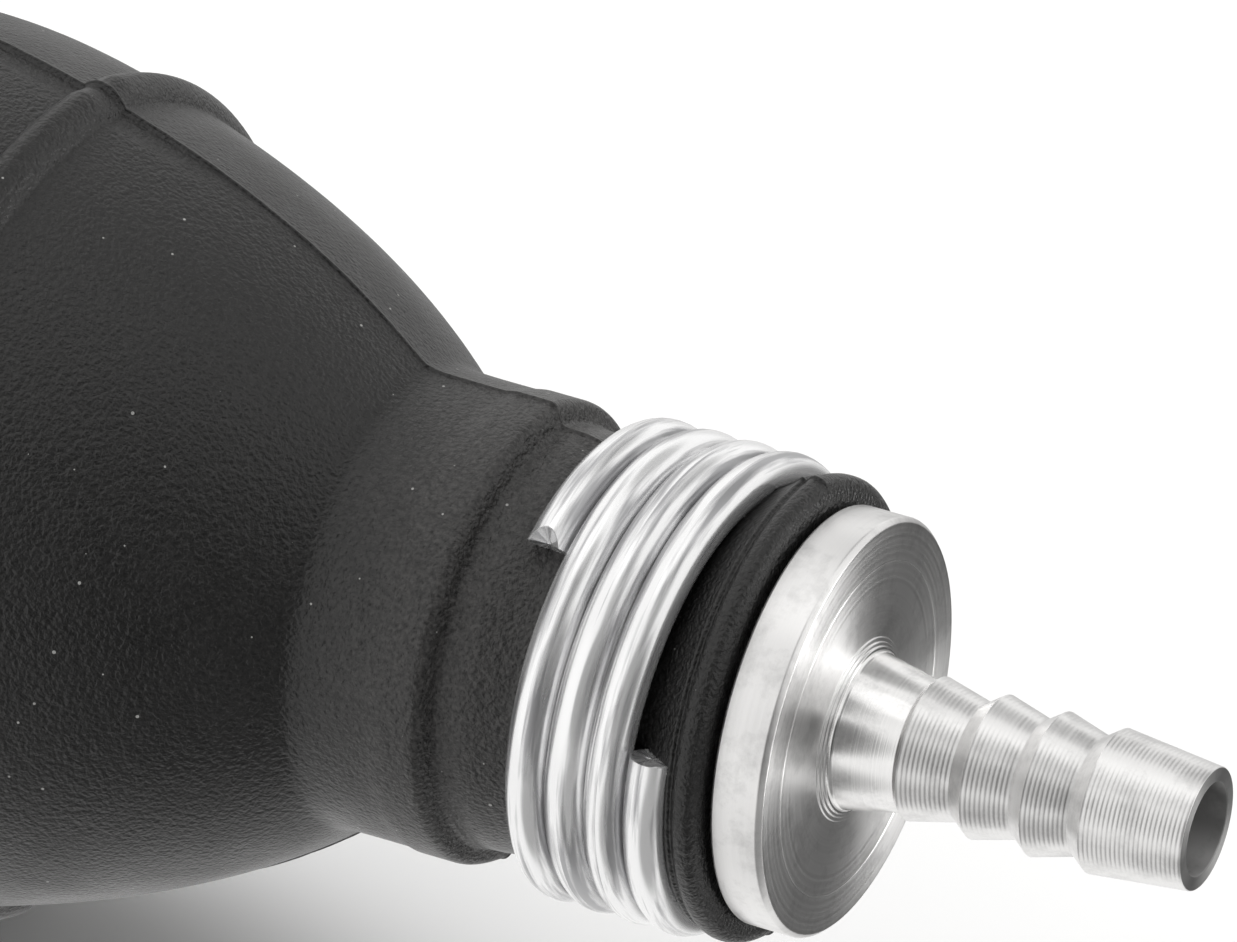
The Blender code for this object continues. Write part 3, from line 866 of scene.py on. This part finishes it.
def foot_and_flange_corners():
    """Corners from behind the last barb down the stem, over the flange's face and round to its back."""
    foot = [(FLANGE_FACE + high * MM, STEM_FOOT_RADIUS + out * MM, 0.04) for high, out in FOOT_STEPS]
    return [
        (BARB_EDGES[-1] - STEM_STEP, STEM_TIP_RADIUS, 0.05),
        (FLANGE_FACE + STEM_FOOT_HEIGHT, STEM_FOOT_RADIUS, 0.1),
        *foot,
        (FLANGE_FACE, SCRIBED_RING - SCRIBED_HALF_WIDTH, 0.01),
        (FLANGE_FACE - SCRIBED_DEPTH, SCRIBED_RING, 0.01),
        (FLANGE_FACE, SCRIBED_RING + SCRIBED_HALF_WIDTH, 0.01),
        (FLANGE_FACE, FLANGE_RADIUS - FLANGE_CHAMFER, 0.05),
        (FLANGE_FACE - FLANGE_CHAMFER, FLANGE_RADIUS, 0.08),
        (FLANGE_BACK + FLANGE_BACK_CHAMFER, FLANGE_RADIUS, 0.05),
        (FLANGE_BACK, FLANGE_RADIUS - FLANGE_BACK_CHAMFER, 0.05),
        (FLANGE_BACK, SPIGOT_RADIUS, 0.1),
    ]


def spigot_corners():
    """Corners along the toothed spigot to its end inside the bulb."""
    corners = []
    for tooth in range(SPIGOT_TEETH):
        place = SPIGOT_TOOTH_START - tooth * SPIGOT_TOOTH_PITCH
        corners += [
            (place, SPIGOT_RADIUS, 0.06),
            (place, SPIGOT_RADIUS - SPIGOT_GROOVE, 0.1),
            (place - SPIGOT_TOOTH_PITCH * SPIGOT_TOOTH_RISE, SPIGOT_RADIUS, 0.2),
        ]
    return corners + [
        (SPIGOT_END + SPIGOT_GROOVE, SPIGOT_RADIUS, 0.15),
        (SPIGOT_END, SPIGOT_RADIUS - SPIGOT_GROOVE, 0.08),
    ]


def bore_corners():
    """Corners from the spigot's end through the valve's bore and the ball chamber, and out to the tip."""
    groove_start, groove_end = SNAP_GROOVE_SPAN
    return [
        (SPIGOT_END, VALVE_BORE, 0.08),
        (groove_start, VALVE_BORE, 0.03),
        (groove_start, SNAP_GROOVE_RADIUS, 0.03),
        (groove_end, SNAP_GROOVE_RADIUS, 0.03),
        (groove_end, VALVE_BORE, 0.03),
        (VALVE_SHOULDER, VALVE_BORE, 0.05),
        (VALVE_SHOULDER, BALL_CHAMBER, 0.05),
        (VALVE_SHOULDER + BALL_CHAMBER - TAIL_BORE, TAIL_BORE, 0.3),
        (TIP_FACE - TIP_CHAMFER, TAIL_BORE, 0.01),
    ]


def fitting_outline():
    """The fitting's section from the tip face, back along the outside, and out along the bore."""
    # These corners' eases are in millimetres
    rest = foot_and_flange_corners() + spigot_corners() + bore_corners()
    corners = [(along, radius, ease * MM) for along, radius, ease in rest]
    lead_in = (BARB_EDGES[-1], BARB_RADIUS, 0)
    lead_out = (TIP_FACE, TAIL_BORE + TIP_CHAMFER, 0)
    return tail_outline() + eased([lead_in] + corners + [lead_out], steps=3)[1:-1]


fitting = turned_mesh("hose_fitting", fitting_outline(), FITTING_SIDES, sharp_angle=30)
for end, turn in ENDS:
    body = add_piece(f"{end}_turned_fitting", fitting, ALUMINIUM, turn=turn)
    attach(body, "root")
    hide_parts(f"{end}_hose_fitting")


# Valve springs, which the balls press together as they lift


def spring_mesh(start):
    """A compression spring, with a nearly flat turn at each end and open turns between them."""
    turns = np.linspace(0.0, 2 * SPRING_DEAD_TURNS + SPRING_LIVE_TURNS, SPRING_STEPS)
    live = smoothstep(SPRING_DEAD_TURNS - 0.5, SPRING_DEAD_TURNS + SPRING_LIVE_TURNS + 0.5, turns)
    low, high = SPRING_SPAN[0] + SPRING_WIRE, SPRING_SPAN[1] - SPRING_WIRE
    along = start + low + (high - low) * live
    angle = math.tau * turns
    line = np.stack([along, SPRING_RADIUS * np.sin(angle), SPRING_RADIUS * np.cos(angle)], axis=-1)
    points, ahead, _ = tube(line, SPRING_WIRE, SPRING_WIRE_SIDES)
    mesh = mesh_from_grid("valve_spring", points, wrap_rows=False, wrap_columns=True)
    cap_tube(mesh, SPRING_WIRE_SIDES, ahead, SPRING_BURRS)
    return smooth(mesh, sharp_angle=40)


for end, _ in ENDS:
    start = VALVE_STARTS[end]
    coil = add_piece(f"{end}_coiled_valve_spring", spring_mesh(start), SPRING_STEEL)
    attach(coil, "root")
    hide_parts(f"{end}_valve_spring")
    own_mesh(coil)


# The other valve parts keep their CAD shapes
CAD_FINISHES = (
    ("snap_ring", SPRING_STEEL),
    ("valve_body", BRASS),
    ("valve_seat", SEAL),
    ("valve_seal_ring", SEAL),
    ("valve_ball", BALL_STEEL),
    ("spring_keeper", BRASS),
)
for end, _ in ENDS:
    for word, finish in CAD_FINISHES:
        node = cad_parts[f"{end}_{word}"]
        node.data.materials.clear()
        node.data.materials.append(finish)


# Stage


def make_floor():
    """A plain pale floor just below the bulb, which the object doesn't mirror."""
    half = FLOOR_HALF_SIZE
    corners = [(-half, -half, 0), (half, -half, 0), (half, half, 0), (-half, half, 0)]
    mesh = bpy.data.meshes.new("floor")
    mesh.from_pydata(corners, [], [(0, 1, 2, 3)])
    floor = bpy.data.objects.new("floor", mesh)
    floor.location = (0.0, 0.0, BULB_BOTTOM - FLOOR_GAP)
    bpy.context.scene.collection.objects.link(floor)
    made, _, surface = new_material("pale_floor")
    set_input(surface["Base Color"], FLOOR_COLOUR)
    set_input(surface["Roughness"], 0.8)
    mesh.materials.append(made)
    floor.visible_glossy = False


def make_sky():
    """The studio's brightness by direction, which lights the object. The camera sees an even white."""
    world = bpy.data.worlds.new("studio")
    world.use_nodes = True
    tree = world.node_tree
    direction = add_node(tree, "ShaderNodeTexCoord").outputs["Generated"]
    brightness = SKY_BRIGHTNESS
    for name, middle, whole, faded, level in SKY_PATCHES:
        aim = {"operation": "DOT_PRODUCT", 0: direction, 1: Vector(middle).normalized()}
        edge = {
            "interpolation_type": "SMOOTHSTEP",
            "Value": add_node(tree, "ShaderNodeVectorMath", aim).outputs["Value"],
            "From Min": math.cos(math.radians(faded)),
            "From Max": math.cos(math.radians(whole)),
        }
        share = add_node(tree, "ShaderNodeMapRange", edge).outputs["Result"]
        mix = add_node(tree, "ShaderNodeMix", {"label": name, "Factor": share, 2: brightness, 3: level})
        brightness = mix.outputs[0]
    seen = add_node(tree, "ShaderNodeLightPath").outputs["Is Camera Ray"]
    backdrop = add_node(tree, "ShaderNodeMix", {"Factor": seen, 2: brightness, 3: BACKDROP_BRIGHTNESS})
    background = tree.nodes["Background"].inputs
    set_input(background["Strength"], backdrop.outputs[0])
    set_input(background["Color"], SKY_COLOUR)
    bpy.context.scene.world = world


def make_key_light():
    """A soft light from above and behind, which the object doesn't mirror."""
    lamp = bpy.data.lights.new("key", "AREA")
    lamp.shape = "RECTANGLE"
    lamp.size = KEY_SIZE
    lamp.size_y = KEY_SIZE
    lamp.energy = KEY_POWER
    key = bpy.data.objects.new("key", lamp)
    key.location = KEY_PLACE
    key.rotation_euler = (Vector(KEY_PLACE) - Vector(KEY_AIM)).to_track_quat("Z", "Y").to_euler()
    bpy.context.scene.collection.objects.link(key)
    key.visible_glossy = False


def make_camera():
    """The photograph's view: aimed beside the outlet's tip, which is at the right of the picture."""
    back = Vector(
        (
            math.sin(CAMERA_AZIMUTH) * math.cos(CAMERA_ELEVATION),
            -math.cos(CAMERA_AZIMUTH) * math.cos(CAMERA_ELEVATION),
            math.sin(CAMERA_ELEVATION),
        )
    )
    level = Vector((0, 0, 1)).cross(back).normalized()
    upright = back.cross(level)
    right = math.cos(CAMERA_ROLL) * level + math.sin(CAMERA_ROLL) * upright
    above = back.cross(right)
    tip = Vector((TIP_FACE, 0.0, 0.0))
    aim = tip - AIM_LEFT_OF_TIP * right + AIM_ABOVE_TIP * above
    camera = bpy.data.objects.new("camera", bpy.data.cameras.new("camera"))
    camera.data.lens = CAMERA_LENS
    camera.data.clip_start = CAMERA_NEAREST
    rotation = Matrix((right, above, back)).transposed().to_4x4()
    camera.matrix_world = Matrix.Translation(aim + CAMERA_DISTANCE * back) @ rotation
    bpy.context.scene.collection.objects.link(camera)
    bpy.context.scene.camera = camera


make_floor()
make_sky()
make_key_light()
make_camera()
bpy.context.scene.view_settings.view_transform = "Standard"
